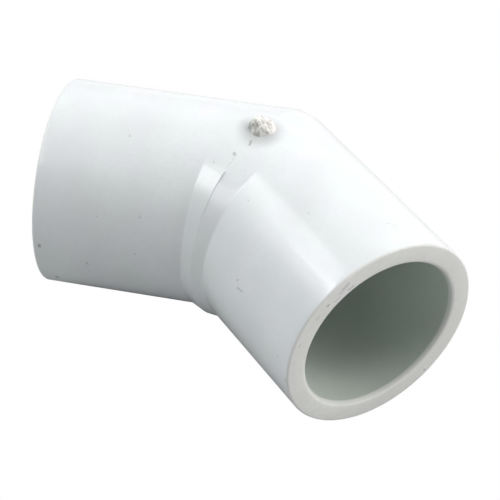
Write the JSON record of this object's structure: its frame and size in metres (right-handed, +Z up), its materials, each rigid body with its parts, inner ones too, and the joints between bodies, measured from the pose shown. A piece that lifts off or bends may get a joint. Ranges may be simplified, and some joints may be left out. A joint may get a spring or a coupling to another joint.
{
  "type": "conduit elbow",
  "caption": "Moulded rigid PVC elbow that turns electrical conduit through 45 degrees, with a plain slip socket at each end.",
  "frame": {"origin": "centre of the stop at the bottom of the inlet socket, where the end of the conduit seats", "axes": "-X out of the inlet socket along its centre line, the bend plane is XY with the outlet turning 45 degrees towards -Y, +Z up out of the bend plane through the gate"},
  "size_m": [0.0699, 0.0529, 0.0353],
  "materials": {
    "white_pvc": "smooth moulded skin, satin, slightly cool white",
    "broken_gate": "rough torn plastic where the sprue was snapped off"
  },
  "bodies": {
    "root": {"inlet_hub": "white_pvc", "outlet_hub": "white_pvc", "bend_body": "white_pvc", "mitre_witness_line": "white_pvc", "gate_stub": "broken_gate"}
  },
  "joints": []
}
